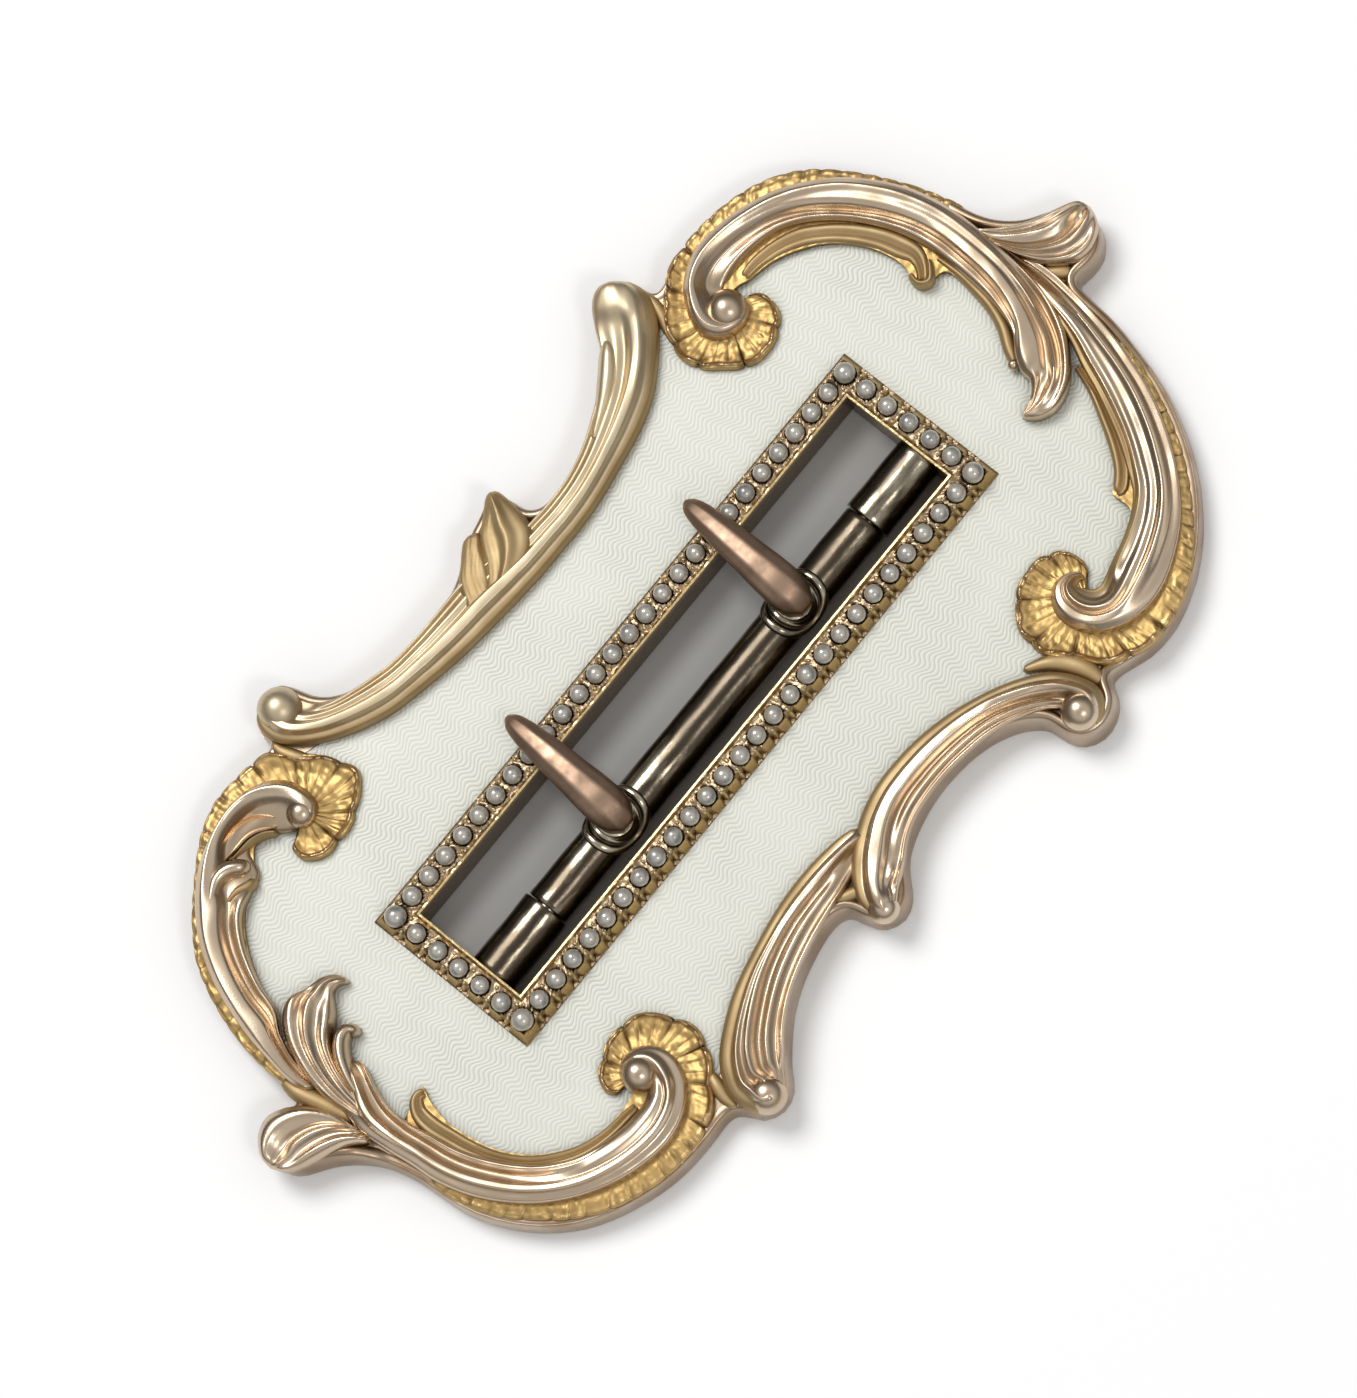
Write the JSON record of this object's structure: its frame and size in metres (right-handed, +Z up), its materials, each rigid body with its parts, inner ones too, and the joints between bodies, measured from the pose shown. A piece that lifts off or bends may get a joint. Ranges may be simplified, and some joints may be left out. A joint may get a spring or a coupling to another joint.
{
  "type": "enamelled belt buckle",
  "caption": "Ornate gilt belt buckle with an ivory enamel panel, a pearl-set strap slot, scrollwork border and a turning bar with claw prongs.",
  "frame": {"origin": "under the middle of the outline, on the surface the buckle rests on", "axes": "+X along the buckle and its strap bar, +Y the way the prongs' tips point, +Z up out of the enamel"},
  "size_m": [0.0856, 0.0462, 0.006],
  "materials": {
    "gilt_tray": "satin gilt silver",
    "ivory_enamel": "glossy translucent enamel over engine turning",
    "gilt_strip": "beaded gilt silver",
    "seed_pearl": "lustrous pearl",
    "oxidised_silver": "blackened silver with worn highlights",
    "copper_gold": "polished reddish gold",
    "matte_gold": "matte chased yellow gold",
    "polished_gold": "polished rose gold"
  },
  "bodies": {
    "buckle": {"tray": "gilt_tray", "enamel_panel": "ivory_enamel", "pearl_frame": "gilt_strip", "seed_pearls": "seed_pearl", "sleeve_left": "oxidised_silver", "sleeve_right": "oxidised_silver", "frill_top_left": "matte_gold", "frill_top_right": "matte_gold", "frill_bottom_left": "matte_gold", "frill_bottom_right": "matte_gold", "scroll_top_left": "polished_gold", "scroll_top_right": "polished_gold", "scroll_bottom_left": "polished_gold", "scroll_bottom_right": "polished_gold", "leaf_tip_left": "polished_gold", "leaf_tip_right": "polished_gold", "side_scroll_top": "polished_gold", "side_scroll_bottom": "polished_gold"},
    "prongs": {"prong_bar": "oxidised_silver", "collar_left": "oxidised_silver", "collar_right": "oxidised_silver", "prong_left": "copper_gold", "prong_right": "copper_gold"}
  },
  "joints": [
    {"name": "prong_swing", "type": "hinge", "parent": "buckle", "child": "prongs", "pos_m": [-0.0005, -0.00138, 0.0019], "axis": [1, 0, 0], "range_deg": [0, 38]}
  ]
}
